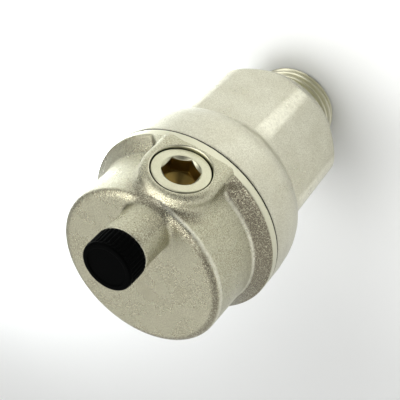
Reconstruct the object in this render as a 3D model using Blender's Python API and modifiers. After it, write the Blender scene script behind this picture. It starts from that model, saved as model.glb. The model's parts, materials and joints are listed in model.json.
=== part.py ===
"""Automatic air vent for heating systems: a float, a bell-crank lever and a side nozzle in a brass housing.

Frame: the origin is the centre of the inlet thread's end face, +Z runs up the axis to the vent cap,
and the side plug faces -Y. Units are metres.
"""

import math

import bmesh
import bpy
from mathutils import Matrix, Vector

MM = 0.001
GAP = 0.3 * MM  # clearance between pieces that touch or turn in each other

# Heights above the inlet thread's end face
HEX_END_Z = 11.0 * MM
SEAM_Z = 51.3 * MM
TOP_Z = SEAM_Z + 18.8 * MM
BOSS_TOP_Z = SEAM_Z + 27.4 * MM
CAP_TOP_Z = BOSS_TOP_Z + 5.4 * MM

# Inlet thread, G 1/2
THREAD_R = 10.48 * MM
THREAD_ROOT_R = 9.35 * MM
THREAD_PITCH = 1.814 * MM
THREAD_TURNS = 6
THREAD_NECK_R = 10.55 * MM  # where the thread runs out at the hexagon
INLET_BORE_R = 7.6 * MM

# Body
HEX_FLATS = 33.2 * MM  # halfway up, for a 32 mm spanner at the end
HEX_DRAFT = 0.42 * MM
HEX_CORNER_R = 5.4 * MM
HEX_END_R = 15.05 * MM
HEX_CHAMFER_ANGLE = math.radians(32.2)
HEX_TURN = math.radians(-17.8)  # where the cover stops when it is screwed home
COLLAR_R = 22.0 * MM
MOUTH_R = 18.6 * MM
CHAMBER_R = 12.8 * MM

# Cover
FLANGE_H = 1.96 * MM
TOP_EDGE_W = 1.9 * MM
TOP_EDGE_H = 1.3 * MM
WALL_TOP_R = 18.8 * MM
WALL_FOOT_R = 19.0 * MM
WALL_INNER_R = 15.8 * MM
ROOF_T = 3.3 * MM
SPIGOT_R = MOUTH_R - GAP
SPIGOT_H = 5.0 * MM

# Side pad and what its hole holds
PLUG_Z = SEAM_Z + 8.9 * MM
PAD_R = 8.3 * MM
PAD_Y = -21.9 * MM
PAD_LEAN = math.radians(3.4)  # its face leans back as it rises from the flange
PLUG_HOLE_R = 6.35 * MM
PLUG_R = PLUG_HOLE_R - 0.25 * MM
PLUG_FACE_Y = PAD_Y + 0.75 * MM
PLUG_HOLE_END_Y = -15.4 * MM
KEY_FLATS = 7.0 * MM
KEY_DEPTH = 4.6 * MM
AIR_WAY_R = 3.6 * MM
AIR_WAY_END_Y = -11.4 * MM
NOZZLE_HOLE_R = 2.6 * MM
LUMP_FACE_Y = -9.4 * MM

# Vent boss and cap
BOSS_Y = -13.1 * MM
BOSS_R = 5.4 * MM
VENT_HOLE_R = 1.4 * MM
VENT_SPIGOT_R = 3.9 * MM
VENT_SPIGOT_H = 2.9 * MM
CAP_R = 5.6 * MM
CAP_RIBS = 36
CAP_RIB_DEPTH = 0.22 * MM

# Float gear
PIVOT_Y = -5.9 * MM
PIVOT_Z = SEAM_Z + 3.6 * MM
LEVER_SWING = math.radians(18.0)
LEVER_REACH = 6.045 * MM
PIN_R = 0.6 * MM
SCREW_X = 6.3 * MM
SCREW_END_Y = -13.0 * MM
FLOAT_R = 11.9 * MM
FLOAT_WALL = 0.8 * MM
FLOAT_FOOT_Z = SEAM_Z - 34.0 * MM
FLOAT_RIM_Z = SEAM_Z - 9.3 * MM

LARGE, MEDIUM, SMALL, TINY = 48, 32, 20, 12  # sides of round pieces


def clear_scene():
    for obj in list(bpy.data.objects):
        bpy.data.objects.remove(obj, do_unlink=True)


def new_collection(name):
    collection = bpy.data.collections.new(name)
    bpy.context.scene.collection.children.link(collection)
    return collection


def finish(name, colour, metallic, roughness):
    material = bpy.data.materials.new(name)
    material.use_nodes = True
    shader = material.node_tree.nodes["Principled BSDF"]
    shader.inputs["Base Color"].default_value = (*colour, 1.0)
    shader.inputs["Metallic"].default_value = metallic
    shader.inputs["Roughness"].default_value = roughness
    return material


def object_from(bm, name):
    """A new object from a bmesh, with its normals pointing out."""
    bmesh.ops.recalc_face_normals(bm, faces=bm.faces)
    mesh = bpy.data.meshes.new(name)
    bm.to_mesh(mesh)
    bm.free()
    obj = bpy.data.objects.new(name, mesh)
    return obj


def place(obj, material=None, parent=None):
    """Puts a piece in the part's collection, or a helper among the cutters where it has no material."""
    if material:
        PART.objects.link(obj)
        obj.data.materials.append(material)
        obj.data.shade_smooth()
        obj.data.set_sharp_from_angle(angle=math.radians(32))
    else:
        CUTTERS.objects.link(obj)
        obj.hide_render = True
        obj.display_type = "WIRE"
    if parent:
        obj.parent = parent
    return obj


def turned(name, profile, sides, material=None, at=(0, 0, 0), parent=None):
    """A Screw round Z of (radius, height) points that run down the outer side."""
    closed = profile[0][0] > 0 or profile[-1][0] > 0
    mesh = bpy.data.meshes.new(name)
    count = len(profile)
    edges = [(i, i + 1) for i in range(count - 1)]
    if closed:
        edges.append((count - 1, 0))
    mesh.from_pydata([(r, 0, z) for r, z in profile], edges, [])
    obj = bpy.data.objects.new(name, mesh)
    obj.location = at
    screw = obj.modifiers.new("turn", "SCREW")
    screw.steps = sides
    screw.render_steps = sides
    screw.use_merge_vertices = True
    screw.merge_threshold = 0.000005
    screw.use_smooth_shade = True
    place(obj, material, parent)
    return obj


def rod(name, radius, start, end, sides, material=None, parent=None, end_radius=None):
    """A round bar, or a cone, from one point to another."""
    start, end = Vector(start), Vector(end)
    along = end - start
    bm = bmesh.new()
    turn = along.to_track_quat("Z", "Y").to_matrix().to_4x4()
    bmesh.ops.create_cone(
        bm,
        cap_ends=True,
        segments=sides,
        radius1=radius,
        radius2=radius if end_radius is None else end_radius,
        depth=along.length,
        matrix=Matrix.Translation((start + end) / 2) @ turn,
    )
    return place(object_from(bm, name), material, parent)


def block(name, low, high, material=None, parent=None):
    """A box between two corners."""
    low, high = Vector(low), Vector(high)
    bm = bmesh.new()
    size = Matrix.Diagonal((*(high - low), 1.0))
    bmesh.ops.create_cube(bm, size=1.0, matrix=Matrix.Translation((low + high) / 2) @ size)
    return place(object_from(bm, name), material, parent)


def plate(name, outline, thickness, material=None, matrix=None, parent=None):
    """A flat outline, filled and extruded both ways from its plane, made a mesh."""
    curve = bpy.data.curves.new(name + "_outline", "CURVE")
    curve.dimensions = "2D"
    curve.fill_mode = "BOTH"
    curve.extrude = thickness / 2
    spline = curve.splines.new("POLY")
    spline.points.add(len(outline) - 1)
    for point, (x, y) in zip(spline.points, outline):
        point.co = (x, y, 0, 1)
    spline.use_cyclic_u = True
    guide = bpy.data.objects.new(name + "_outline", curve)
    CUTTERS.objects.link(guide)
    graph = bpy.context.evaluated_depsgraph_get()
    mesh = bpy.data.meshes.new_from_object(guide.evaluated_get(graph))
    bpy.data.objects.remove(guide, do_unlink=True)
    bm = bmesh.new()
    bm.from_mesh(mesh)
    bpy.data.meshes.remove(mesh)
    bmesh.ops.remove_doubles(bm, verts=bm.verts, dist=0.000001)
    bmesh.ops.dissolve_limit(bm, angle_limit=0.001, verts=bm.verts, edges=bm.edges)
    if matrix:
        bmesh.ops.transform(bm, matrix=matrix, verts=bm.verts)
    return place(object_from(bm, name), material, parent)


def combine(obj, other, operation):
    """Joins a helper to a piece, or cuts it out of the piece."""
    modifier = obj.modifiers.new(operation.lower(), "BOOLEAN")
    modifier.operation = operation
    modifier.solver = "EXACT"
    modifier.object = other


def join(obj, *others):
    for other in others:
        combine(obj, other, "UNION")


def cut(obj, *others):
    for other in others:
        combine(obj, other, "DIFFERENCE")


def arc(centre, radius, start, end, steps):
    """Points on a circle from one angle to another, in degrees."""
    points = []
    for i in range(steps + 1):
        angle = math.radians(start + (end - start) * i / steps)
        points.append((centre[0] + radius * math.cos(angle), centre[1] + radius * math.sin(angle)))
    return points


def ring(name, centre_r, wire_r, at, sides, material, facing_y=False):
    """An O-ring round Z, or round Y where facing_y is set."""
    profile = arc((centre_r, 0), wire_r, 90, -270, 8)[:-1]
    obj = turned(name, profile, sides, material, at)
    if facing_y:
        obj.rotation_euler.x = math.pi / 2
    return obj


def thread_profile():
    """The inlet from the hexagon's end down to the end face: a short neck, then crests and roots as rings."""
    points = [
        (THREAD_NECK_R, HEX_END_Z + 0.4 * MM),
        (THREAD_NECK_R, HEX_END_Z - 0.45 * MM),
        (THREAD_NECK_R - 0.5 * MM, HEX_END_Z - 0.8 * MM),
    ]
    crest = 0.09 * THREAD_PITCH
    for turn in range(THREAD_TURNS, 0, -1):
        height = (turn - 0.66) * THREAD_PITCH
        if turn < THREAD_TURNS:
            points.append((THREAD_ROOT_R, height + 0.5 * THREAD_PITCH))
        points.append((THREAD_R, height + crest))
        points.append((THREAD_R, height - crest))
    points.append((THREAD_R - 0.45 * MM, 0))
    return points


def shoulder_profile():
    """The collar's outer side from the seam down to where it meets the hexagon."""
    top = SEAM_Z - GAP
    return [
        (COLLAR_R - 0.2 * MM, top),
        (COLLAR_R, top - 0.2 * MM),
        (COLLAR_R, SEAM_Z - 4.8 * MM),
        (COLLAR_R - 0.25 * MM, SEAM_Z - 8.0 * MM),
        (COLLAR_R - 0.55 * MM, SEAM_Z - 9.6 * MM),
        (COLLAR_R - 1.1 * MM, SEAM_Z - 11.4 * MM),
        (COLLAR_R - 2.1 * MM, SEAM_Z - 13.1 * MM),
        (COLLAR_R - 3.4 * MM, SEAM_Z - 14.5 * MM),
        (COLLAR_R - 4.4 * MM, SEAM_Z - 15.6 * MM),
        (COLLAR_R - 5.4 * MM, SEAM_Z - 16.9 * MM),
    ]


def hexagon():
    """The tapered hexagonal prism with its rounded corners."""
    low, high = HEX_END_Z, SEAM_Z - 14.0 * MM
    corner = HEX_FLATS / 2 / math.cos(math.pi / 6)
    bm = bmesh.new()
    turn = Matrix.Rotation(HEX_TURN, 4, "Z")
    bmesh.ops.create_cone(
        bm,
        cap_ends=True,
        segments=6,
        radius1=corner - HEX_DRAFT,
        radius2=corner + HEX_DRAFT,
        depth=high - low,
        matrix=Matrix.Translation((0, 0, (low + high) / 2)) @ turn,
    )
    upright = [edge for edge in bm.edges if abs(edge.verts[0].co.z - edge.verts[1].co.z) > MM]
    bmesh.ops.bevel(
        bm,
        geom=upright,
        offset=HEX_CORNER_R * math.tan(math.pi / 6),
        offset_type="OFFSET",
        segments=4,
        profile=0.5,
        affect="EDGES",
    )
    return place(object_from(bm, "hexagon"))


def chamfer_ring():
    """What a conical chamfer takes off the hexagon's lower end."""
    slope = 1 / math.tan(HEX_CHAMFER_ANGLE)
    low = HEX_END_Z - 0.5 * MM
    reach = 4.0 * MM
    outside = HEX_END_R + 9.0 * MM
    return turned(
        "hexagon_chamfer",
        [
            (outside, HEX_END_Z + reach * slope),
            (outside, low),
            (HEX_END_R - 0.5 * MM / slope, low),
            (HEX_END_R + reach, HEX_END_Z + reach * slope),
        ],
        LARGE,
    )


def make_body():
    profile = [(0, SEAM_Z - GAP)] + shoulder_profile()
    profile += [(HEX_END_R - 0.6 * MM, SEAM_Z - 19.0 * MM), (HEX_END_R - 0.6 * MM, HEX_END_Z + 0.4 * MM)]
    profile += thread_profile() + [(0, 0)]
    body = turned("body", profile, LARGE, NICKEL)
    join(body, hexagon())
    cut(body, chamfer_ring())
    chamber = [
        (0, SEAM_Z + MM),
        (MOUTH_R, SEAM_Z + MM),
        (MOUTH_R, SEAM_Z - SPIGOT_H - 0.4 * MM),
        (MOUTH_R - 0.7 * MM, SEAM_Z - SPIGOT_H - 1.1 * MM),
        (MOUTH_R - 0.7 * MM, SEAM_Z - 9.6 * MM),
        (CHAMBER_R, SEAM_Z - 15.6 * MM),
        (CHAMBER_R, HEX_END_Z + 5.0 * MM),
        (INLET_BORE_R, HEX_END_Z + 1.8 * MM),
        (INLET_BORE_R, -MM),
        (0, -MM),
    ]
    cut(body, turned("chamber", chamber, LARGE))


def cover_profile():
    """The cover's section: down its outer side, round the spigot with its groove, and up inside."""
    fillet = 2.1 * MM
    profile = [(0, TOP_Z)]
    for x, z in arc((0, 0), 1.0, 90, 0, 4):
        profile.append((WALL_TOP_R + (x - 1) * TOP_EDGE_W, TOP_Z + (z - 1) * TOP_EDGE_H))
    foot = (WALL_FOOT_R + fillet, SEAM_Z + FLANGE_H + fillet)
    profile += arc(foot, fillet, 180, 270, 3)
    profile += [
        (COLLAR_R - 0.3 * MM, SEAM_Z + FLANGE_H),
        (COLLAR_R, SEAM_Z + FLANGE_H - 0.3 * MM),
        (COLLAR_R, SEAM_Z),
        (SPIGOT_R, SEAM_Z),
        (SPIGOT_R, SEAM_Z - 1.2 * MM),
        (SPIGOT_R - 1.75 * MM, SEAM_Z - 1.2 * MM),
        (SPIGOT_R - 1.75 * MM, SEAM_Z - 3.4 * MM),
        (SPIGOT_R, SEAM_Z - 3.4 * MM),
        (SPIGOT_R, SEAM_Z - SPIGOT_H + 0.3 * MM),
        (SPIGOT_R - 0.3 * MM, SEAM_Z - SPIGOT_H),
        (WALL_INNER_R, SEAM_Z - SPIGOT_H),
    ]
    roof = TOP_Z - ROOF_T
    profile += arc((WALL_INNER_R - 2.5 * MM, roof - 2.5 * MM), 2.5 * MM, 0, 90, 3)
    profile.append((0, roof))
    return profile


def pad():
    """The arched pad that stands out of the wall round the plug's hole, with its front edge rounded."""
    outline = [(PAD_R, SEAM_Z + 1.3 * MM - PLUG_Z)]
    outline += arc((0, 0), PAD_R, 0, 180, 20)
    outline += [(-PAD_R, SEAM_Z + 1.3 * MM - PLUG_Z)]
    inner_y = -14.6 * MM
    depth = inner_y - PAD_Y
    stand_up = Matrix.Rotation(math.pi / 2, 4, "X")
    middle = Matrix.Translation((0, (inner_y + PAD_Y) / 2, PLUG_Z))
    foot = Matrix.Translation((0, PAD_Y, SEAM_Z + FLANGE_H))
    lean = foot @ Matrix.Rotation(-PAD_LEAN, 4, "X") @ foot.inverted()
    obj = plate("pad", outline, depth, matrix=lean @ middle @ stand_up)
    bevel = obj.modifiers.new("round", "BEVEL")
    bevel.width = 1.8 * MM
    bevel.segments = 3
    bevel.limit_method = "ANGLE"
    bevel.angle_limit = math.radians(50)
    return obj


def make_cover():
    cover = turned("cover", cover_profile(), LARGE, NICKEL)
    lump = block(
        "lump", (-8.5 * MM, -15.9 * MM, SEAM_Z + 0.8 * MM), (8.5 * MM, LUMP_FACE_Y, TOP_Z - 2.0 * MM)
    )
    boss = rod("boss", BOSS_R, (0, BOSS_Y, SEAM_Z + 12 * MM), (0, BOSS_Y, BOSS_TOP_Z), MEDIUM)
    spigot_top = BOSS_TOP_Z + VENT_SPIGOT_H
    spigot = rod(
        "vent_spigot", VENT_SPIGOT_R, (0, BOSS_Y, BOSS_TOP_Z - MM), (0, BOSS_Y, spigot_top), SMALL
    )
    join(cover, pad(), lump, boss, spigot)
    reach = COLLAR_R + 0.05 * MM
    outside = COLLAR_R + 5 * MM
    flange_turning = turned(
        "flange_turning",
        [
            (outside, SEAM_Z + FLANGE_H),
            (outside, SEAM_Z - MM),
            (reach, SEAM_Z - MM),
            (reach, SEAM_Z + FLANGE_H),
        ],
        LARGE,
    )
    plug_hole = rod(
        "plug_hole", PLUG_HOLE_R, (0, -25 * MM, PLUG_Z), (0, PLUG_HOLE_END_Y, PLUG_Z), MEDIUM
    )
    air_way = rod("air_way", AIR_WAY_R, (0, -16 * MM, PLUG_Z), (0, AIR_WAY_END_Y, PLUG_Z), SMALL)
    nozzle_hole = rod(
        "nozzle_hole", NOZZLE_HOLE_R, (0, -12 * MM, PLUG_Z), (0, LUMP_FACE_Y + MM, PLUG_Z), SMALL
    )
    vent_hole = rod("vent_hole", VENT_HOLE_R, (0, BOSS_Y, PLUG_Z), (0, BOSS_Y, spigot_top + MM), TINY)
    cut(cover, flange_turning, plug_hole, air_way, nozzle_hole, vent_hole)
    for side in (-1, 1):
        x = side * SCREW_X
        hole = rod(
            "screw_hole", 1.3 * MM, (x, SCREW_END_Y - GAP, PIVOT_Z), (x, LUMP_FACE_Y + MM, PIVOT_Z), TINY
        )
        cut(cover, hole)


def make_body_seal():
    ring("body_seal", SPIGOT_R - 0.65 * MM, 0.8 * MM, (0, 0, SEAM_Z - 2.3 * MM), LARGE, RUBBER)


def make_side_plug():
    nose_r = 4.3 * MM
    nose_y = PLUG_HOLE_END_Y - 0.35 * MM
    shank_y = PLUG_HOLE_END_Y - 1.6 * MM
    profile = [
        (0, -PLUG_FACE_Y),
        (PLUG_R - 0.3 * MM, -PLUG_FACE_Y),
        (PLUG_R, -PLUG_FACE_Y - 0.3 * MM),
        (PLUG_R, -shank_y),
        (nose_r, -shank_y),
        (nose_r, -nose_y),
        (0, -nose_y),
    ]
    plug = turned("side_plug", profile, MEDIUM, NICKEL, (0, 0, PLUG_Z))
    plug.rotation_euler.x = math.pi / 2
    socket = rod(
        "key_socket",
        KEY_FLATS / math.sqrt(3),
        (0, PLUG_FACE_Y - MM, PLUG_Z),
        (0, PLUG_FACE_Y + KEY_DEPTH - 1.0 * MM, PLUG_Z),
        6,
    )
    countersink = rod(
        "countersink",
        4.65 * MM,
        (0, PLUG_FACE_Y - 0.5 * MM, PLUG_Z),
        (0, PLUG_FACE_Y + 2.0 * MM, PLUG_Z),
        SMALL,
        end_radius=2.15 * MM,
    )
    cut(plug, socket, countersink)
    seal_y = PLUG_HOLE_END_Y - 0.95 * MM
    ring("plug_seal", 5.3 * MM, 0.55 * MM, (0, seal_y, PLUG_Z), SMALL, RUBBER, True)


def make_valve_seat():
    head_y = AIR_WAY_END_Y - 1.7 * MM
    neck_y = AIR_WAY_END_Y - 0.9 * MM
    tip_y = -8.35 * MM
    hole_r = 0.6 * MM
    profile = [
        (hole_r, -head_y),
        (3.2 * MM, -head_y),
        (3.2 * MM, -neck_y),
        (2.3 * MM, -neck_y),
        (2.3 * MM, -tip_y + 1.0 * MM),
        (1.2 * MM, -tip_y),
        (hole_r, -tip_y),
    ]
    seat = turned("valve_seat", profile, SMALL, BRASS, (0, 0, PLUG_Z))
    seat.rotation_euler.x = math.pi / 2
    seal_y = AIR_WAY_END_Y - 0.45 * MM
    ring("seat_seal", 2.95 * MM, 0.3 * MM, (0, seal_y, PLUG_Z), SMALL, RUBBER, True)


def make_bracket():
    foot_y = LUMP_FACE_Y + GAP
    face_y = foot_y + 0.8 * MM
    low, high = SEAM_Z + 1.2 * MM, SEAM_Z + 6.0 * MM
    bracket = block("lever_bracket", (-8.3 * MM, foot_y, low), (8.3 * MM, face_y, high), STEEL)
    for side in (-1, 1):
        near, far = sorted((side * 2.6 * MM, side * 3.4 * MM))
        cheek = block(
            "cheek", (near, foot_y + 0.2 * MM, low + 0.6 * MM), (far, PIVOT_Y + 1.6 * MM, high - 0.6 * MM)
        )
        join(bracket, cheek)
        x = side * SCREW_X
        cut(bracket, rod("clear_hole", 1.3 * MM, (x, -12 * MM, PIVOT_Z), (x, -7 * MM, PIVOT_Z), TINY))
    cut(
        bracket,
        rod("pin_hole", PIN_R + GAP, (-5 * MM, PIVOT_Y, PIVOT_Z), (5 * MM, PIVOT_Y, PIVOT_Z), TINY),
    )


def make_screw(name, x):
    head_y = LUMP_FACE_Y + 1.4 * MM
    profile = [
        (0, 1.0 * MM),
        (1.5 * MM, 1.0 * MM),
        (1.8 * MM, 0.6 * MM),
        (1.8 * MM, 0),
        (1.0 * MM, 0),
        (1.0 * MM, SCREW_END_Y - head_y + 0.4 * MM),
        (0.7 * MM, SCREW_END_Y - head_y),
        (0, SCREW_END_Y - head_y),
    ]
    screw = turned(name, profile, SMALL, STEEL, (x, head_y, PIVOT_Z))
    screw.rotation_euler.x = -math.pi / 2
    slot = block(
        name + "_slot",
        (x - 2 * MM, head_y + 0.5 * MM, PIVOT_Z - 0.25 * MM),
        (x + 2 * MM, head_y + 2 * MM, PIVOT_Z + 0.25 * MM),
    )
    cut(screw, slot)


def make_pin():
    profile = [
        (0, 4.9 * MM),
        (PIN_R - 0.1 * MM, 4.9 * MM),
        (PIN_R, 4.8 * MM),
        (PIN_R, -3.7 * MM),
        (1.1 * MM, -3.7 * MM),
        (1.1 * MM, -4.3 * MM),
        (0, -4.3 * MM),
    ]
    pin = turned("lever_pin", profile, TINY, STEEL, (0, PIVOT_Y, PIVOT_Z))
    pin.rotation_euler.y = math.pi / 2
    clip = turned(
        "pin_clip",
        [
            (1.5 * MM, 0.2 * MM),
            (1.5 * MM, -0.2 * MM),
            (PIN_R + GAP, -0.2 * MM),
            (PIN_R + GAP, 0.2 * MM),
        ],
        SMALL,
        STEEL,
        (3.95 * MM, PIVOT_Y, PIVOT_Z),
    )
    clip.rotation_euler.y = math.pi / 2
    mouth = block(
        "clip_mouth",
        (3.5 * MM, PIVOT_Y - 0.45 * MM, PIVOT_Z - 3 * MM),
        (4.5 * MM, PIVOT_Y + 0.45 * MM, PIVOT_Z),
    )
    cut(clip, mouth)


def make_lever():
    """The bell crank and its shutter, built shut and turned back about the pivot to where the float hangs."""
    pivot = bpy.data.objects.new("lever_pivot", None)
    PART.objects.link(pivot)
    pivot.location = (0, PIVOT_Y, PIVOT_Z)
    pivot.rotation_euler.x = -LEVER_SWING
    pad_z = PLUG_Z - PIVOT_Z
    lever = rod("lever", 1.5 * MM, (-1.6 * MM, 0, 0), (1.6 * MM, 0, 0), SMALL, STEEL, pivot)
    upright = block(
        "lever_upright", (-1.2 * MM, -0.4 * MM, 0), (1.2 * MM, 0.4 * MM, pad_z + 2.3 * MM), parent=pivot
    )
    arm = block(
        "lever_arm",
        (-2.3 * MM, 1.9 * MM, -0.5 * MM),
        (2.3 * MM, LEVER_REACH + 2.2 * MM, 0.5 * MM),
        parent=pivot,
    )
    web = block("lever_web", (-1.2 * MM, 0, -0.5 * MM), (1.2 * MM, 2.2 * MM, 0.5 * MM), parent=pivot)
    join(lever, upright, web, arm)
    slot = block(
        "link_slot",
        (-0.95 * MM, LEVER_REACH - 1.3 * MM, -2 * MM),
        (0.95 * MM, LEVER_REACH + 1.3 * MM, 2 * MM),
        parent=pivot,
    )
    bore = rod(
        "lever_bore", PIN_R + GAP, (-3 * MM, 0, 0), (3 * MM, 0, 0), TINY, parent=pivot
    )
    cut(lever, slot, bore)
    cup = turned(
        "pad_cup",
        [
            (0, 1.1 * MM),
            (0, 0.7 * MM),
            (2.4 * MM, 0.7 * MM),
            (2.4 * MM, 1.9 * MM),
            (2.0 * MM, 1.9 * MM),
            (2.0 * MM, 1.1 * MM),
        ][::-1],
        SMALL,
        BRASS,
        (0, 0, pad_z),
        pivot,
    )
    cup.rotation_euler.x = math.pi / 2
    rod("shutter_pad", 1.7 * MM, (0, -1.3 * MM, pad_z), (0, -2.2 * MM, pad_z), SMALL, RUBBER, pivot)


def make_spring():
    """A torsion spring round the pin beside the hub: one leg behind the upright, one on the bracket."""
    coil_r, wire_r, turns, steps = 1.25 * MM, 0.14 * MM, 1.5, 12
    first_x, last_x = 1.85 * MM, 2.35 * MM
    points = [
        (0.5 * MM, PIVOT_Y + 1.85 * MM, PIVOT_Z + 2.9 * MM),
        (first_x, PIVOT_Y + 1.85 * MM, PIVOT_Z + 2.9 * MM),
    ]
    count = int(turns * steps)
    for i in range(count + 1):
        angle = -2 * math.pi * turns * i / count
        x = first_x + (last_x - first_x) * i / count
        points.append(
            (x, PIVOT_Y + coil_r * math.cos(angle), PIVOT_Z + coil_r * math.sin(angle))
        )
    points.append((last_x, PIVOT_Y - 1.9 * MM, PIVOT_Z + 1.8 * MM))
    curve = bpy.data.curves.new("lever_spring", "CURVE")
    curve.dimensions = "3D"
    curve.bevel_depth = wire_r
    curve.bevel_resolution = 2
    curve.use_fill_caps = True
    spline = curve.splines.new("POLY")
    spline.points.add(len(points) - 1)
    for point, place_at in zip(spline.points, points):
        point.co = (*place_at, 1)
    spring = bpy.data.objects.new("lever_spring", curve)
    PART.objects.link(spring)
    curve.materials.append(STEEL)


def make_link():
    head_z = SEAM_Z + 3.05 * MM
    post_z = SEAM_Z - 3.5 * MM
    profile = [
        (0, head_z + 0.8 * MM),
        (1.2 * MM, head_z + 0.8 * MM),
        (1.5 * MM, head_z + 0.5 * MM),
        (1.5 * MM, head_z),
        (0.6 * MM, head_z),
        (0.6 * MM, post_z - 3.0 * MM),
        (0, post_z - 3.0 * MM),
    ]
    turned("link_rod", profile, TINY, STEEL)
    clip_z = SEAM_Z + 0.35 * MM
    clip = [
        (1.6 * MM, clip_z),
        (1.6 * MM, clip_z - 0.8 * MM),
        (0.9 * MM, clip_z - 0.8 * MM),
        (0.9 * MM, clip_z),
    ]
    turned("link_clip", clip, SMALL, PLASTIC_WHITE)


def make_float():
    inner_r = FLOAT_R - FLOAT_WALL
    floor_z = FLOAT_FOOT_Z + FLOAT_WALL
    shell = [(FLOAT_R, FLOAT_RIM_Z)]
    shell += arc((FLOAT_R - 2 * MM, FLOAT_FOOT_Z + 2 * MM), 2 * MM, 0, -90, 4)
    shell.append((0, FLOAT_FOOT_Z))
    inside = [(0, floor_z)]
    inside += arc((inner_r - 1.2 * MM, floor_z + 1.2 * MM), 1.2 * MM, -90, 0, 3)
    inside.append((inner_r, FLOAT_RIM_Z))
    turned_open("float_shell", shell + inside, MEDIUM, PLASTIC_WHITE)
    lid_z = FLOAT_RIM_Z + GAP
    post_z = SEAM_Z - 3.5 * MM
    lid = [
        (0.9 * MM, post_z),
        (2.0 * MM, post_z),
        (2.2 * MM, lid_z + 2.4 * MM),
        (8.0 * MM, lid_z + 1.9 * MM),
        (FLOAT_R - 0.5 * MM, lid_z + 0.8 * MM),
        (FLOAT_R, lid_z + 0.5 * MM),
        (FLOAT_R, lid_z),
        (inner_r - GAP, lid_z),
        (inner_r - GAP, lid_z - 1.6 * MM),
        (inner_r - 1.1 * MM, lid_z - 1.6 * MM),
        (inner_r - 1.1 * MM, lid_z + 0.1 * MM),
        (0, lid_z + 1.0 * MM),
        (0, post_z - 3.3 * MM),
        (0.9 * MM, post_z - 3.3 * MM),
    ]
    turned_open("float_lid", lid, MEDIUM, PLASTIC_WHITE)


def turned_open(name, profile, sides, material):
    """A Screw whose section is one closed loop that may lie along the axis."""
    on_axis = [i for i, point in enumerate(profile) if point[0] == 0]
    start = on_axis[-1]
    turned(name, profile[start:] + profile[: on_axis[0] + 1], sides, material)


def make_cap():
    floor_z = BOSS_TOP_Z + GAP
    inside_z = BOSS_TOP_Z + VENT_SPIGOT_H + 1.1 * MM
    rib_top = CAP_TOP_Z - 0.7 * MM
    outline = []
    for i in range(CAP_RIBS * 4):
        angle = 2 * math.pi * i / (CAP_RIBS * 4)
        radius = CAP_R if i % 4 < 2 else CAP_R - CAP_RIB_DEPTH
        outline.append((radius * math.cos(angle), radius * math.sin(angle)))
    lift = Matrix.Translation((0, 0, (floor_z + rib_top) / 2))
    cap = plate("vent_cap", outline, rib_top - floor_z, PLASTIC_BLACK, matrix=lift)
    cap.location = (0, BOSS_Y, 0)
    crown_r = CAP_R - 0.08 * MM
    crown = [(0, CAP_TOP_Z), (crown_r - 0.45 * MM, CAP_TOP_Z)]
    crown += arc((crown_r - 0.45 * MM, CAP_TOP_Z - 0.45 * MM), 0.45 * MM, 90, 0, 3)[1:]
    crown += [(crown_r, rib_top - MM), (0, rib_top - MM)]
    join(cap, turned("cap_crown", crown, MEDIUM, at=(0, BOSS_Y, 0)))
    cut(
        cap,
        rod("cap_bore", VENT_SPIGOT_R + GAP, (0, BOSS_Y, floor_z - MM), (0, BOSS_Y, inside_z), SMALL),
    )
    seal_z = BOSS_TOP_Z + VENT_SPIGOT_H + 0.25 * MM
    seal = rod("cap_seal", 3.7 * MM, (0, 0, 0), (0, 0, 0.6 * MM), SMALL, RUBBER)
    seal.location = (0, BOSS_Y, seal_z)


clear_scene()
PART = new_collection("automatic_air_vent")
CUTTERS = new_collection("cutters")
NICKEL = finish("nickel", (0.66, 0.64, 0.56), 1.0, 0.38)
BRASS = finish("brass", (0.72, 0.53, 0.22), 1.0, 0.3)
STEEL = finish("steel", (0.6, 0.6, 0.6), 1.0, 0.28)
RUBBER = finish("rubber", (0.02, 0.02, 0.02), 0.0, 0.7)
PLASTIC_BLACK = finish("black_plastic", (0.012, 0.013, 0.014), 0.0, 0.42)
PLASTIC_WHITE = finish("white_plastic", (0.82, 0.81, 0.76), 0.0, 0.4)

make_body()
make_cover()
make_body_seal()
make_side_plug()
make_valve_seat()
make_bracket()
make_screw("bracket_screw_left", -SCREW_X)
make_screw("bracket_screw_right", SCREW_X)
make_pin()
make_lever()
make_spring()
make_link()
make_float()
make_cap()
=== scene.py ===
"""Looks for the automatic air vent: skins, finishes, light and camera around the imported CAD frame.

Shapes are distance fields in millimetres, negative inside, in the CAD frame: z is up from the
thread's end, and the side plug faces -y. They are meshed by surface nets and scaled to metres
by MM. Small numbers in them are fillet radii and clearances, in millimetres.
"""

import json
import math

import bpy
import numpy as np
from mathutils import Matrix, Vector


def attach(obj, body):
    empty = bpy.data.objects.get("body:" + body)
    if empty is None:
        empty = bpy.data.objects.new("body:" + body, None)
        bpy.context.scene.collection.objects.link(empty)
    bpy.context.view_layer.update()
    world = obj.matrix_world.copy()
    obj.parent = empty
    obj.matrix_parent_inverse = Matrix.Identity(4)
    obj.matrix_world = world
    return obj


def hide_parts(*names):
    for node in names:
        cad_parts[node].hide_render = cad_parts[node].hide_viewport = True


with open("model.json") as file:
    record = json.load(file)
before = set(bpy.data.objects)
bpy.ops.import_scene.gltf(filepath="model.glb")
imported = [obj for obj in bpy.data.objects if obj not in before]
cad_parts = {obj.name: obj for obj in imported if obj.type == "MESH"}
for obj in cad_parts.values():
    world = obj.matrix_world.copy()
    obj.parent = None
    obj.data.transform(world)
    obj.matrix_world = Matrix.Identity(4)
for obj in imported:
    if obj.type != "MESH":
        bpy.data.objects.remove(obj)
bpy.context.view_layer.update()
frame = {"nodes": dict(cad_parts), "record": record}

MM = 0.001
DIAGONAL = 0.707  # turns the sum of two offsets into a distance from a 45 degree cone

THREAD_R = 10.5
THREAD_DEPTH = 1.14
THREAD_PITCH = 1.814
THREAD_FULL = 10.2  # the ridges run out above this height
INLET_R = 7.6

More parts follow.
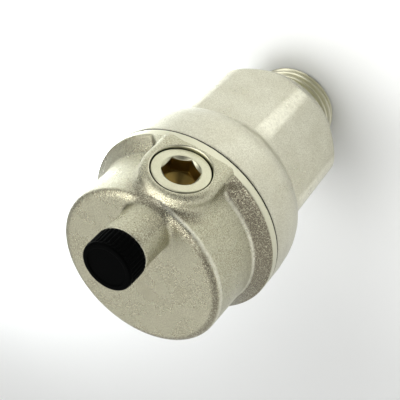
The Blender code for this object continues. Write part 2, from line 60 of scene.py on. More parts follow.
HEX_END = 11.04
HEX_FLATS = 32.45  # across the flats at the lower end
HEX_TAPER = 1.45  # how much wider it gets in HEX_RISE
HEX_RISE = 25
HEX_TURN = math.radians(-107.8)

SEAM = 51.3  # the joint between body and cover
BODY_TOP = SEAM - 0.3
FLANGE_R = 22.0
FLANGE_H = 1.96
WALL_R = 19.0
WALL_H = 18.8  # the flat top's height above the seam

PAD_Y = -21.9
PAD_LEAN = math.radians(3.4)
PAD_HALF = 8.3
PLUG_Z = SEAM + 8.9
PLUG_FACE = PAD_Y + 0.75
KEY_FLOOR_Y = -17.55  # where the flats of the key socket end

BOSS_Y = -13.1
BOSS_R = 5.4
BOSS_TOP = SEAM + 27.4
CAP_R = 5.6
CAP_RIBS = 36
CAP_RIB_DEPTH = 0.2


# Distance fields ---------------------------------------------------------------------------------


def fillet_union(a, b, radius):
    """Joins two fields with a concave fillet."""
    inner = np.hypot(np.maximum(radius - a, 0), np.maximum(radius - b, 0))
    return np.maximum(radius, np.minimum(a, b)) - inner


def round_meet(a, b, radius):
    """Keeps what both fields hold, with a convex rounding where they meet."""
    outer = np.hypot(np.maximum(radius + a, 0), np.maximum(radius + b, 0))
    return np.minimum(-radius, np.maximum(a, b)) + outer


def round_cut(a, b, radius):
    """Takes b out of a, with the mouth's edge rounded."""
    return round_meet(a, -b, radius)


def slab(value, low, high):
    """The space between two limits on one coordinate."""
    return np.maximum(low - value, value - high)


def profile_field(r, z, points):
    """Distance to a closed (radius, height) outline."""
    best = np.full(np.broadcast(r, z).shape, 1e9)
    inside = np.zeros(best.shape, bool)
    for (ax, az), (bx, bz) in zip(points, points[1:] + points[:1]):
        ex, ez = bx - ax, bz - az
        wx, wz = r - ax, z - az
        share = np.clip((wx * ex + wz * ez) / (ex * ex + ez * ez), 0, 1)
        best = np.minimum(best, (wx - ex * share) ** 2 + (wz - ez * share) ** 2)
        if ez:
            inside ^= ((az <= z) != (bz <= z)) & (r < ax + (z - az) * ex / ez)
    best = np.sqrt(best)
    return np.where(inside, -best, best)


def hexagon_field(x, y, flats, corner_r, turn):
    """A hexagon across its flats, with rounded corners; turn is the angle of one corner."""
    sixth = math.pi / 3
    angle = np.arctan2(y, x) - turn
    off = np.abs(angle - np.round(angle / sixth) * sixth)
    radius = np.hypot(x, y)
    px, py = radius * np.cos(off), radius * np.sin(off)
    centre = (flats / 2 - corner_r) / math.cos(math.pi / 6)
    flat = px * math.cos(math.pi / 6) + py * 0.5 - flats / 2
    rounded = np.hypot(px - centre, py) - corner_r
    at_corner = np.arctan2(py, px - centre) < math.pi / 6
    return np.where(at_corner & (px > centre), rounded, flat)


# Surface nets ------------------------------------------------------------------------------------

CORNERS = [(i, j, k) for i in (0, 1) for j in (0, 1) for k in (0, 1)]
PROBE = 0.02  # half the distance over which a field's slope is measured
PULLS = 3  # how often the vertices are moved onto the surface
MAX_PULL = 0.4  # the longest such move, as a share of a cell


def sample(field, low, count, step):
    """The field's values on a regular grid, one level at a time."""
    xs, ys, zs = (low[i] + step * np.arange(count[i]) for i in range(3))
    gx, gy = np.meshgrid(xs, ys, indexing="ij")
    values = np.empty(count, np.float32)
    for k, z in enumerate(zs):
        values[:, :, k] = field(gx, gy, np.full_like(gx, z))
    return values


def cell_points(values, cells):
    """One point for each cell: the mean of the places where its edges cross the surface."""
    corner_values = [values[tuple((cells + c).T)].astype(float) for c in CORNERS]
    place, hits = np.zeros((len(cells), 3)), np.zeros(len(cells))
    for a in range(8):
        for b in range(a + 1, 8):
            ca, cb = np.array(CORNERS[a]), np.array(CORNERS[b])
            if np.abs(ca - cb).sum() != 1:
                continue
            va, vb = corner_values[a], corner_values[b]
            crosses = (va < 0) != (vb < 0)
            share = np.where(crosses, va / np.where(crosses, va - vb, 1), 0)
            place += crosses[:, None] * (ca + share[:, None] * (cb - ca))
            hits += crosses
    return cells + place / hits[:, None]


def edge_quads(inside, index, axis):
    """A quad of four cells' points round each grid edge along an axis that crosses the surface."""
    u, v = ((1, 2), (2, 0), (0, 1))[axis]
    near, far = [slice(None)] * 3, [slice(None)] * 3
    near[axis], far[axis] = slice(0, -1), slice(1, None)
    edge = np.argwhere(inside[tuple(near)] != inside[tuple(far)])
    keep = (edge[:, u] > 0) & (edge[:, v] > 0)
    keep &= (edge[:, u] < inside.shape[u] - 1) & (edge[:, v] < inside.shape[v] - 1)
    edge = edge[keep]
    ring = []
    for du, dv in ((-1, -1), (0, -1), (0, 0), (-1, 0)):
        cell = edge.copy()
        cell[:, u] += du
        cell[:, v] += dv
        ring.append(index[tuple(cell.T)])
    ring = np.stack(ring, 1)
    starts_outside = ~inside[tuple(edge.T)]
    ring[starts_outside] = ring[starts_outside][:, ::-1]
    return ring


def pull_onto(field, points, step):
    """Moves points along the field's slope until they lie on its surface."""
    for _ in range(PULLS):
        value = field(*points.T)
        slope = np.empty_like(points)
        for axis in range(3):
            ahead, behind = points.copy(), points.copy()
            ahead[:, axis] += PROBE
            behind[:, axis] -= PROBE
            slope[:, axis] = (field(*ahead.T) - field(*behind.T)) / (2 * PROBE)
        size = np.maximum((slope**2).sum(1), 0.05)
        move = -(value / size)[:, None] * slope
        length = np.linalg.norm(move, axis=1)
        points += move * np.minimum(1, MAX_PULL * step / np.maximum(length, 1e-9))[:, None]
    return points


def net(field, low, high, step):
    """Vertices and quads of the field's zero surface."""
    low, high = np.array(low, float), np.array(high, float)
    count = np.ceil((high - low) / step).astype(int) + 1
    values = sample(field, low, count, step)
    inside = values < 0
    total = np.zeros(count - 1, np.uint8)
    for i, j, k in CORNERS:
        total += inside[i : count[0] - 1 + i, j : count[1] - 1 + j, k : count[2] - 1 + k]
    cells = np.argwhere((total > 0) & (total < 8))
    index = np.full(count - 1, -1, np.int64)
    index[tuple(cells.T)] = np.arange(len(cells))
    points = low + step * cell_points(values, cells)
    quads = np.concatenate([edge_quads(inside, index, axis) for axis in range(3)])
    return pull_onto(field, points, step), quads


def skin(name, field, low, high, step, material, body, stands_for):
    """A piece meshed from a field, riding on a CAD body in place of a CAD node."""
    points, quads = net(field, low, high, step)
    mesh = bpy.data.meshes.new(name)
    mesh.vertices.add(len(points))
    mesh.vertices.foreach_set("co", (points * MM).ravel())
    mesh.loops.add(quads.size)
    mesh.loops.foreach_set("vertex_index", quads.ravel().astype(np.int32))
    mesh.polygons.add(len(quads))
    mesh.polygons.foreach_set("loop_start", np.arange(0, quads.size, 4, dtype=np.int32))
    mesh.update(calc_edges=True)
    mesh.validate()
    mesh.shade_smooth()
    obj = bpy.data.objects.new(name, mesh)
    bpy.context.scene.collection.objects.link(obj)
    obj.data.materials.append(material)
    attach(obj, body)
    if stands_for:
        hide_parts(stands_for)


# The object's shapes -----------------------------------------------------------------------------

# The body's round collar and shoulder
COLLAR = [
    (FLANGE_R, BODY_TOP),
    (FLANGE_R, SEAM - 4.8),
    (21.75, SEAM - 8.0),
    (21.45, SEAM - 9.6),
    (20.9, SEAM - 11.4),
    (20.4, SEAM - 12.4),
    (19.9, SEAM - 13.1),
    (19.3, SEAM - 13.9),
    (18.6, SEAM - 14.6),
    (17.7, SEAM - 15.4),
    (16.8, SEAM - 16.2),
    (15.6, SEAM - 17.0),
    (13.0, SEAM - 18.0),
    (0.0, SEAM - 18.0),
    (0.0, BODY_TOP),
]

# The hollow of the body, down to the inlet's bore
CHAMBER = [
    (0.0, SEAM + 2),
    (18.6, SEAM + 2),
    (18.6, SEAM - 5.4),
    (17.9, SEAM - 6.1),
    (17.9, SEAM - 9.6),
    (12.8, SEAM - 15.6),
    (12.8, 16.0),
    (INLET_R, 12.8),
    (INLET_R, -3.0),
    (0.0, -3.0),
]

# The hollow of the cover
INNER = [
    (0.0, SEAM - 7),
    (15.8, SEAM - 7),
    (15.8, SEAM + 13.0),
    (15.1, SEAM + 14.8),
    (13.3, SEAM + 15.5),
    (0.0, SEAM + 15.5),
]


def body_field(x, y, z):
    """The hollow lower half: a collar over a tapered hexagon with a chamfered lower end."""
    r = np.hypot(x, y)
    collar = profile_field(r, z, COLLAR)
    flats = HEX_FLATS + HEX_TAPER * np.clip((z - HEX_END) / HEX_RISE, 0, 1)
    hexagon = hexagon_field(x, y, flats, 5.4, HEX_TURN)
    hexagon = np.maximum(hexagon, slab(z, HEX_END, SEAM - 14))
    chamfer = (r - 15.09 - 0.63 * (z - HEX_END)) * 0.846
    hexagon = round_meet(hexagon, chamfer, 0.35)
    shape = fillet_union(collar, hexagon, 0.7)
    shape = np.maximum(shape, z - BODY_TOP)
    return round_cut(shape, profile_field(r, z, CHAMBER), 0.25)


def thread_field(x, y, z):
    """A rounded helical thread with a chamfered start, and a stub that reaches into the hexagon."""
    r = np.hypot(x, y)
    turn = np.arctan2(y, x) / (2 * math.pi)
    wave = (z / THREAD_PITCH - turn) % 1.0
    height = np.abs(wave - 0.5) * 2
    ridge = THREAD_R - THREAD_DEPTH * (0.5 - 0.5 * np.cos(math.pi * height))
    run_out = THREAD_R - THREAD_DEPTH * np.clip((z - THREAD_FULL) / 0.5, 0, 1)
    ridge = np.where(z > THREAD_FULL, np.minimum(ridge, run_out), ridge)
    outer = (r - ridge) * 0.62
    outer = np.maximum(outer, (r - 9.75 - 0.9 * z) * 0.7)
    outer = round_meet(outer, -z, 0.12)
    outer = np.maximum(outer, z - 11.6)
    return round_cut(outer, r - INLET_R, 0.2)


def wall_field(r, z):
    """The cover's wall and flat top, with an elliptical edge between them."""
    wide, high = 1.9, 1.3
    wall_r = WALL_R - 0.2 * np.clip((z - SEAM) / WALL_H, 0, 1)
    u = np.maximum(r - wall_r + wide, 0) / wide
    v = np.maximum(z - (SEAM + WALL_H - high), 0) / high
    edge = (np.hypot(u, v) - 1) * high
    wall = np.where(v > 0, np.maximum(edge, z - SEAM - WALL_H), r - wall_r)
    return np.maximum(wall, SEAM + 0.2 - z)


def pad_field(x, y, z):
    """The arched pad round the side plug, turned by its lean about the foot of its face."""
    up, out = z - SEAM - FLANGE_H, y - PAD_Y
    pad_z = SEAM + FLANGE_H + up * math.cos(PAD_LEAN) + out * math.sin(PAD_LEAN)
    pad_y = PAD_Y + out * math.cos(PAD_LEAN) - up * math.sin(PAD_LEAN)
    arch = np.where(pad_z < PLUG_Z, np.abs(x), np.hypot(x, pad_z - PLUG_Z)) - PAD_HALF
    return round_meet(arch, slab(pad_y, PAD_Y, -13.0), 1.7)


def cover_outside(x, y, z):
    """The cover's wall, pad, boss and flange, without its hollows."""
    flange_top = z - SEAM - FLANGE_H
    pad = pad_field(x, y, z)
    r = np.hypot(x, y)
    shape = fillet_union(wall_field(r, z), pad, 1.6)
    slope = (shape + np.maximum(flange_top, 0) - 2.9) * DIAGONAL
    shape = fillet_union(np.minimum(shape, flange_top), slope, 0.5)
    shape = round_meet(shape, r - FLANGE_R, 0.3)
    shape = np.minimum(shape, np.maximum(pad, -flange_top))
    shape = round_meet(shape, SEAM - z, 0.12)
    boss_r = np.hypot(x, y - BOSS_Y)
    boss = round_meet(boss_r - BOSS_R, slab(z, SEAM + 8, BOSS_TOP), 0.3)
    shape = fillet_union(shape, boss, 1.0)
    spigot = np.maximum(boss_r - 3.9, slab(z, BOSS_TOP - 2, BOSS_TOP + 2.9))
    return np.minimum(shape, spigot)


def cover_ring(r, z):
    """The ring that screws into the body, with the groove of the seal."""
    ring = np.maximum(slab(r, 14.0, 18.3), slab(z, SEAM - 5, SEAM + 1))
    ring = np.maximum(ring, -np.maximum(16.55 - r, slab(z, SEAM - 3.4, SEAM - 1.2)))
    return np.maximum(ring, 15.8 - r)


def cover_field(x, y, z):
    """The hollow upper half, with the holes of the plug, nozzle, vent and bracket screws."""
    r = np.hypot(x, y)
    hole_r = np.hypot(x, z - PLUG_Z)
    boss_r = np.hypot(x, y - BOSS_Y)
    lump = np.maximum(np.abs(x) - 8.5, slab(y, -18.0, -9.4))
    lump = np.maximum(lump, slab(z, SEAM + 0.8, SEAM + 17))
    hollow = np.maximum(profile_field(r, z, INNER), -lump)
    shape = np.maximum(cover_outside(x, y, z), -hollow)
    shape = np.minimum(shape, cover_ring(r, z))
    shape = round_cut(shape, np.maximum(hole_r - 6.35, y + 15.4), 0.25)
    screw_r = np.hypot(np.abs(x) - 6.3, z - SEAM - 3.6)
    nozzle_thread = np.maximum(hole_r - 3.6, slab(y, -16, -11.4))
    nozzle_bore = np.maximum(hole_r - 2.6, slab(y, -12, -8))
    vent = np.maximum(boss_r - 1.4, PLUG_Z - z)
    screws = np.maximum(screw_r - 1.3, slab(y, -13.3, -8))
    for hole in (nozzle_thread, nozzle_bore, vent, screws):
        shape = np.maximum(shape, -hole)
    return shape


def plug_field(x, y, z):
    """The side plug: a disc with a nose behind it and a drilled hexagon socket in its face."""
    hole_r = np.hypot(x, z - PLUG_Z)
    disc = round_meet(hole_r - 6.12, slab(y, PLUG_FACE, -17.0), 0.22)
    nose = np.maximum(hole_r - 4.3, slab(y, -18, -15.75))
    shape = np.minimum(disc, nose)
    key = hexagon_field(x, z - PLUG_Z, 7.0, 0.15, math.pi / 2)
    key = np.maximum(key, y - KEY_FLOOR_Y)
    drill = np.maximum(hole_r - 3.2, y - KEY_FLOOR_Y - (3.2 - hole_r) * 0.5) * 0.85
    mouth = (hole_r - 4.12 + (y - PLUG_FACE)) * DIAGONAL
    shape = round_cut(shape, key, 0.1)
    return round_cut(shape, np.minimum(mouth, drill), 0.08)


def cap_field(x, y, z):
    """The vent cap: ribbed below a plain rim, hollow from below, with a shallow dish in its top."""
    px, py = x, y - BOSS_Y
    r = np.hypot(px, py)
    angle = np.arctan2(py, px)
    low, high = BOSS_TOP + 0.3, BOSS_TOP + 5.4
    rib = np.clip(0.5 + 0.9 * np.cos(angle * CAP_RIBS), 0, 1) * CAP_RIB_DEPTH
    ribbed = np.clip((high - 0.55 - z) / 0.3, 0, 1)
    rim_r = CAP_R - CAP_RIB_DEPTH * (1 - ribbed) * 0.4
    outer = r - rim_r + (CAP_RIB_DEPTH - rib) * ribbed
    shape = round_meet(outer * 0.9, slab(z, low, high), 0.4)
    bore = np.maximum(r - 4.2, z - (BOSS_TOP + 4.0))
    dish = np.maximum(r - 4.3, high - 0.15 - z)
    return np.maximum(np.maximum(shape, -bore), -dish)


# Finishes ----------------------------------------------------------------------------------------


class Finish:
    """A Principled material with helpers for its procedural nodes."""

    def __init__(self, name, colour, metallic, roughness):
        self.material = bpy.data.materials.new(name)
        self.material.use_nodes = True
        self.tree = self.material.node_tree
        self.shader = self.tree.nodes["Principled BSDF"]
        self.shader.inputs["Base Color"].default_value = (*colour, 1)
        self.shader.inputs["Metallic"].default_value = metallic
        self.shader.inputs["Roughness"].default_value = roughness
        self.place = self.tree.nodes.new("ShaderNodeTexCoord").outputs["Object"]

    def put(self, socket, value):
        """Links a socket to another node's output, or sets it to a plain value."""
        if isinstance(value, bpy.types.NodeSocket):
            self.tree.links.new(value, socket)
        else:
            socket.default_value = value

    def node(self, kind, **inputs):
        """A new node with the named inputs set."""
        made = self.tree.nodes.new("ShaderNode" + kind)
        for key, value in inputs.items():
            self.put(made.inputs[key], value)
        return made

    def noise(self, size_mm, detail, roughness=0.5):
        scale = 1 / (size_mm * MM)
        made = self.node("TexNoise", Vector=self.place, Scale=scale, Detail=detail)
        self.put(made.inputs["Roughness"], roughness)
        return made.outputs["Fac"]

    def span(self, value, low, high, to_low, to_high):
        """Maps one range to another, held at both ends."""
        made = self.node("MapRange", Value=value)
        names = ("From Min", "From Max", "To Min", "To Max")
        for key, item in zip(names, (low, high, to_low, to_high)):
            self.put(made.inputs[key], item)
        return made.outputs["Result"]

    def math(self, operation, a, b=0.0):
        made = self.tree.nodes.new("ShaderNodeMath")
        made.operation = operation
        self.put(made.inputs[0], a)
        self.put(made.inputs[1], b)
        return made.outputs[0]

    def mix(self, share, a, b):
        """Goes from colour a to colour b."""
        made = self.tree.nodes.new("ShaderNodeMix")
        made.data_type = "RGBA"
        self.put(made.inputs["Factor"], share)
        for socket, value in ((made.inputs[6], a), (made.inputs[7], b)):
            self.put(socket, value if isinstance(value, bpy.types.NodeSocket) else (*value, 1))
        return made.outputs[2]

    def bump(self, height, strength, distance_mm, normal=None):
        made = self.node("Bump", Height=height, Strength=strength, Distance=distance_mm * MM)
        if normal:
            self.put(made.inputs["Normal"], normal)
        return made.outputs["Normal"]

    def axes(self):
        return tuple(self.node("SeparateXYZ", Vector=self.place).outputs)

    def reach(self, a, b):
        """The distance from an axis, in metres, from two coordinates."""
        squares = self.math("ADD", self.math("MULTIPLY", a, a), self.math("MULTIPLY", b, b))
        return self.math("SQRT", squares)

    def step(self, value, zero_mm, one_mm):
        """Goes from 0 to 1 between two places in millimetres."""
        return self.span(value, zero_mm * MM, one_mm * MM, 0, 1)

    def above_seam(self, z, zero_mm, one_mm):
        """Like step, with heights measured from the seam."""
        return self.step(z, SEAM + zero_mm, SEAM + one_mm)

    def both(self, a, b):
        return self.math("MULTIPLY", a, b)

    def either(self, a, b):
        return self.math("MAXIMUM", a, b)


SKIN_DARK = (0.55, 0.535, 0.385)
SKIN_PALE = (0.64, 0.63, 0.47)
PIT_TONE = (0.3, 0.265, 0.18)
TURNED_TONE = (0.57, 0.555, 0.42)
# Painted shade, for the dark slope, hollows and top edge on the -x side
PAINTED_SHADE_TONE = (0.17, 0.145, 0.105)
# Painted highlight, for the bright ridges and the hexagon's corners
PAINTED_HIGHLIGHT_TONE = (0.88, 0.86, 0.72)
BARE_TONE = (0.27, 0.19, 0.055)
# Painted shade, for the gaps at the seam and round the plug
GAP_SHADE_TONE = (0.02, 0.019, 0.014)


def nickel(name, grain=1.0, roughness=0.34, marks=None, blue=1.0):
    """Satin nickel plate over a hot-pressed, blasted brass skin.

    marks gives five masks by position: where it is turned, where shade is painted into a gap, bare
    brass, where shade is painted, and where a highlight is painted.
    """
    f = Finish(name, (0.7, 0.67, 0.5), 1.0, roughness)
    fine, coarse = f.noise(0.24, 2.0, 0.7), f.noise(0.8, 2.0, 0.6)
    patch = f.noise(7.0, 4.0, 0.62)
    dark_skin, pale_skin = ((c[0], c[1], c[2] * blue) for c in (SKIN_DARK, SKIN_PALE))
    tone = f.mix(f.span(patch, 0.35, 0.65, 0, 1), dark_skin, pale_skin)
    tone = f.mix(f.span(fine, 0.38, 0.6, 0.8 * grain, 0), tone, PIT_TONE)
    gloss = f.span(patch, 0.3, 0.7, roughness - 0.04, roughness + 0.05)
    rough_part = 1.0
    if marks:
        turned, shade_in_gaps, bare, painted_shade, painted_highlight = marks(f)
        tone = f.mix(turned, tone, TURNED_TONE)
        # painted shade, with bright grains left in it
        tone = f.mix(f.both(painted_shade, f.span(fine, 0.47, 0.64, 1.0, 0.1)), tone, PAINTED_SHADE_TONE)
        # painted highlight
        tone = f.mix(f.both(painted_highlight, f.span(coarse, 0.35, 0.6, 0.5, 1)), tone, PAINTED_HIGHLIGHT_TONE)
        tone = f.mix(bare, tone, BARE_TONE)
        # painted shade in the gaps
        tone = f.mix(shade_in_gaps, tone, GAP_SHADE_TONE)
        gloss = f.span(turned, 0, 1, gloss, 0.3)
        rough_part = f.span(turned, 0, 1, 1, 0.15)
    f.put(f.shader.inputs["Base Color"], tone)
    f.put(f.shader.inputs["Roughness"], gloss)
    strong = f.math("MULTIPLY", rough_part, min(1.0, grain))
    soft = f.math("MULTIPLY", rough_part, 0.35 * grain)
    normal = f.bump(fine, strong, 0.12, f.bump(coarse, soft, 0.14))
    f.put(f.shader.inputs["Normal"], normal)
    return f.material


# The painted shade and painted highlights below are set by position on the side that the camera
# sees. They stand for reflections and shade there, not for a different skin.


def cover_marks(f):
    """Turned rims, painted shade in the gaps at the seam and round the plug, painted shade on the
    flange's slope, the pad's hollows and the top's edge, and painted highlights on ridges on the -x
    side.
    """
    x, y, z = f.axes()
    r = f.reach(x, y)
    plug_r = f.reach(x, f.math("SUBTRACT", z, PLUG_Z * MM))
    minus_x_side = f.step(x, 1.0, -5.0)

    bored = f.both(f.step(plug_r, 6.6, 6.5), f.step(y, -14.0, -15.0))
    flange_rim = f.both(f.step(r, 21.8, 21.93), f.above_seam(z, 2.0, 1.85))
    hole = f.both(bored, f.step(y, PAD_Y - 0.3, PAD_Y - 0.2))
    boss_rim = f.step(z, BOSS_TOP - 0.2, BOSS_TOP - 0.05)
    turned = f.either(f.either(flange_rim, hole), boss_rim)

    # painted shade in the seam's gap and in the gap round the plug
    seam_shade = f.both(f.above_seam(z, 0.16, 0.04), f.step(r, 21.95, 21.85))
    plug_ring_shade = f.both(bored, f.step(y, PLUG_FACE + 0.05, PLUG_FACE + 0.3))
    shade_in_gaps = f.either(seam_shade, plug_ring_shade)

    # painted shade on the flange's slope, the pad's hollows and the top's edge
    slope = f.both(f.above_seam(z, 4.9, 4.6), f.above_seam(z, 1.9, 2.1))
    slope = f.both(f.both(slope, f.step(x, 1.0, -7.0)), f.step(r, 19.1, 19.3))
    slope = f.both(slope, f.either(f.step(x, -8.0, -8.8), f.step(y, -13.0, -12.0)))
    valley = f.both(f.step(plug_r, 8.2, 9.0), f.step(plug_r, 11.0, 10.2))
    valley = f.both(valley, f.step(z, PLUG_Z + 3.5, PLUG_Z + 6.5))
    valley = f.both(valley, f.step(y, -15.5, -17.0))
    painted_shade = f.both(f.either(slope, f.both(valley, 0.8)), f.step(x, 9.0, 5.0))
    top_edge = f.both(f.step(r, 17.1, 17.7), f.step(r, 18.7, 18.4))
    top_edge = f.both(f.both(top_edge, f.above_seam(z, 17.2, 17.6)), minus_x_side)
    painted_shade = f.either(painted_shade, f.both(top_edge, 0.75))

    # painted highlights along ridges at the wall's foot and the top's rim
    foot = f.both(f.above_seam(z, 4.4, 4.9), f.above_seam(z, 5.6, 5.1))
    top_rim = f.both(f.above_seam(z, 16.9, 17.3), f.above_seam(z, 18.1, 17.8))
    painted_highlight = f.both(f.either(foot, top_rim), f.both(minus_x_side, f.step(r, 18.3, 18.6)))
    painted_highlight = f.both(painted_highlight, f.step(r, 20.0, 19.6))
    return turned, shade_in_gaps, 0.0, painted_shade, f.both(painted_highlight, 0.7)


def body_marks(f):
    """Painted shade in the seam's gap under the cover, and painted highlights along the tapered
    hexagon's corners.
    """
    x, y, z = f.axes()
    r = f.reach(x, y)
    # painted shade in the seam's gap
    seam_shade = f.both(f.above_seam(z, -0.4, -0.32), f.step(r, 21.95, 21.85))
    # painted highlight along the hexagon's rounded corners
    corner = f.math("SUBTRACT", r, f.math("MULTIPLY", z, 0.027))
    corner = f.both(f.step(corner, 17.42, 17.62), f.above_seam(z, -14.5, -17.5))
    return 0.0, seam_shade, 0.0, 0.0, f.both(corner, 0.6)


def plug_marks(f):
    """Painted shade in the gap round the plug, and bare brass down in the key socket."""
    x, y, z = f.axes()
    plug_r = f.reach(x, f.math("SUBTRACT", z, PLUG_Z * MM))
    # painted shade in the gap round the plug
    plug_ring_shade = f.both(f.step(plug_r, 5.98, 6.05), f.step(y, PLUG_FACE + 0.15, PLUG_FACE + 0.3))
    deep = f.both(f.step(plug_r, 4.2, 4.1), f.step(y, PLUG_FACE + 0.55, PLUG_FACE + 0.75))
    return 0.0, plug_ring_shade, deep, 0.0, 0.0


def thread_marks(f):
    """Turned all over."""
    return 1.0, 0.0, 0.0, 0.0, 0.0


def plain(
    name, colour, metallic, roughness, size_mm, strength, spread=0.06, specular=0.5, mottle=0.14
):
    """A simple finish with a little grain, mottling and uneven gloss."""
    f = Finish(name, colour, metallic, roughness)
    f.shader.inputs["Specular IOR Level"].default_value = specular
    grain, patch = f.noise(size_mm, 3.0), f.noise(size_mm * 12, 2.0)
    darker = tuple(c * (1 - mottle) for c in colour)
    tone = f.mix(f.span(patch, 0.3, 0.7, 0, 1), darker, colour)
    gloss = f.span(grain, 0.3, 0.7, roughness - spread, roughness + spread)
    f.put(f.shader.inputs["Base Color"], tone)
    f.put(f.shader.inputs["Roughness"], gloss)
    f.put(f.shader.inputs["Normal"], f.bump(grain, strength, size_mm * 0.3))
    return f.material


NICKEL = nickel("nickel_inner", 0.6)
COVER_METAL = nickel("nickel_cover", 1.0, 0.27, cover_marks)
BODY_METAL = nickel("nickel_body", 0.6, 0.3, body_marks, 1.1)
PLUG_METAL = nickel("nickel_plug", 0.25, 0.32, plug_marks)
THREAD_METAL = nickel("nickel_thread", 0.3, 0.22, thread_marks)
BRASS = plain("turned_brass", (0.75, 0.55, 0.25), 1.0, 0.28, 0.3, 0.2)
STEEL = plain("stainless_steel", (0.62, 0.61, 0.6), 1.0, 0.27, 0.25, 0.2)
RUBBER = plain("black_rubber", (0.018, 0.018, 0.018), 0.0, 0.65, 0.2, 0.3)
BLACK = plain("black_plastic", (0.0012, 0.0014, 0.0013), 0.0, 0.5, 0.25, 0.25, 0.06, 0.012)
WHITE = plain("white_plastic", (0.8, 0.79, 0.74), 0.0, 0.42, 0.3, 0.2)

skin(
    "body_skin",
    body_field,
    low=(-22.6, -22.6, 10.6),
    high=(22.6, 22.6, 51.6),
    step=0.25,
    material=BODY_METAL,
    body="housing",
    stands_for="body",
)
skin(
    "inlet_thread",
    thread_field,
    low=(-10.9, -10.9, -0.3),
    high=(10.9, 10.9, 11.9),
    step=0.16,
    material=THREAD_METAL,
    body="housing",
    stands_for=None,
)
skin(
    "cover_skin",
    cover_field,
    low=(-22.6, -22.6, 45.8),
    high=(22.6, 22.6, 82.2),
    step=0.22,
    material=COVER_METAL,
    body="housing",
    stands_for="cover",
)
skin(
    "plug_skin",
    plug_field,
    low=(-6.5, -21.5, PLUG_Z - 6.5),
    high=(6.5, -15.4, PLUG_Z + 6.5),
    step=0.09,
    material=PLUG_METAL,
    body="housing",
    stands_for="side_plug",
)
skin(
    "cap_skin",
    cap_field,
    low=(-6, BOSS_Y - 6, BOSS_TOP),
    high=(6, BOSS_Y + 6, BOSS_TOP + 5.8),
    step=0.12,
    material=BLACK,
    body="cap",
    stands_for="vent_cap",
)

CAD_FINISHES = {
    "brass": BRASS,
    "steel": STEEL,
    "rubber": RUBBER,
    "black_plastic": BLACK,
    "white_plastic": WHITE,
    "nickel_plate": NICKEL,
}
for part in frame["record"]["subparts"]:
    node = frame["nodes"][part["node"]]
    node.data.materials.clear()
    node.data.materials.append(CAD_FINISHES[part["material_slot"]])

# Floor, light and camera -------------------------------------------------------------------------

FLOOR_HALF = 1.5  # metres
FLOOR_DROP = 0.0002  # metres, so that the thread's end doesn't share the floor's plane


def make_floor():
    """A pale floor just under the thread's end."""
    half = FLOOR_HALF
    corners = [(-half, -half, 0), (half, -half, 0), (half, half, 0), (-half, half, 0)]
    mesh = bpy.data.meshes.new("floor")
    mesh.from_pydata(corners, [], [(0, 1, 2, 3)])
    floor = bpy.data.objects.new("floor", mesh)
    floor.location.z = -FLOOR_DROP
    bpy.context.scene.collection.objects.link(floor)
    pale = plain("pale_floor", (0.88, 0.89, 0.875), 0.0, 0.7, 3.0, 0.04, mottle=0.01)
    floor.data.materials.append(pale)


def area_light(name, place, size, power, aim=(0, 0, 45), spread=180, colour=(1, 1, 1)):
    """A round soft light; place, size and aim are in millimetres, and spread is in degrees."""
    place, aim = Vector(place) * MM, Vector(aim) * MM
    data = bpy.data.lights.new(name, "AREA")
    data.shape = "DISK"
    data.size = size * MM
    data.spread = math.radians(spread)
    data.energy = power
    data.color = colour
    light = bpy.data.objects.new(name, data)
    light.location = place
    light.rotation_euler = (place - aim).to_track_quat("Z", "Y").to_euler()
    light.visible_camera = False
    bpy.context.scene.collection.objects.link(light)


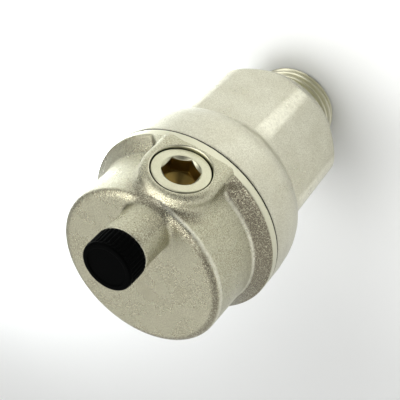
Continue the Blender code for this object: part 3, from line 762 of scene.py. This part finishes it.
def make_world(lobes):
    """A dark room with broad bright parts: each lobe is a direction, a sharpness and a strength."""
    world = bpy.data.worlds.new("studio")
    bpy.context.scene.world = world
    world.use_nodes = True
    tree = world.node_tree
    back = tree.nodes["Background"]
    back.inputs["Color"].default_value = (1, 1, 1, 1)
    place = tree.nodes.new("ShaderNodeTexCoord").outputs["Generated"]
    total = None
    for toward, sharpness, strength in lobes:
        dot = tree.nodes.new("ShaderNodeVectorMath")
        dot.operation = "DOT_PRODUCT"
        dot.inputs[1].default_value = Vector(toward).normalized()
        tree.links.new(place, dot.inputs[0])
        level = dot.outputs["Value"]
        for operation, value in (("MAXIMUM", 0.0), ("POWER", sharpness), ("MULTIPLY", strength)):
            made = tree.nodes.new("ShaderNodeMath")
            made.operation = operation
            tree.links.new(level, made.inputs[0])
            made.inputs[1].default_value = value
            level = made.outputs[0]
        if total:
            made = tree.nodes.new("ShaderNodeMath")
            tree.links.new(total, made.inputs[0])
            tree.links.new(level, made.inputs[1])
            level = made.outputs[0]
        total = level
    tree.links.new(total, back.inputs["Strength"])


def make_camera():
    """The photo's camera, fitted to the object's outlines.

    The focal length is a choice, and not the best fit: shorter ones fit better. It was picked for
    the body size it gives with a G 1/2 thread.
    """
    data = bpy.data.cameras.new("camera")
    data.sensor_width = 36
    data.lens = 97.2
    data.clip_start = 0.01
    camera = bpy.data.objects.new("camera", data)
    place = Vector((-0.060735, -0.164999, 0.202368))
    right = Vector((-0.8369289, -0.1820108, -0.5161609))
    down = Vector((-0.4816000, 0.6929572, 0.5365367))
    ahead = Vector((0.2600220, 0.6976262, -0.6676124))
    turn = Matrix((right, -down, -ahead)).transposed().to_4x4()
    camera.matrix_world = Matrix.Translation(place) @ turn
    bpy.context.scene.collection.objects.link(camera)
    bpy.context.scene.camera = camera


make_floor()
make_world(
    [
        ((-1, 0, 0.1), 4, 1.35),
        ((0, 1, 0.1), 2, 1.0),
        ((0.33, 0.1, 0.94), 24, 5.0),
        ((0, 0, 1), 2, 0.08),
    ]
)
# Two broad lights on the object
area_light("key", (385, -140, 330), 300, 0.5)
area_light("fill", (205, -355, 330), 300, 0.55)
# Small ones that face straight down and brighten the floor beside it
area_light("side_glow", (125, 50, 100), 200, 0.12, (125, 50, 0), 75, (0.95, 0.98, 1.0))
area_light("near_glow", (52, 26, 60), 40, 0.036, (52, 26, 0), 60, (0.88, 0.95, 1.0))
area_light("right_glow", (-78, 0, 90), 100, 0.012, (-78, 0, 0), 85)
area_light("front_glow", (-5, -75, 80), 120, 0.032, (-5, -75, 0), 90)
make_camera()
bpy.context.scene.view_settings.view_transform = "Standard"
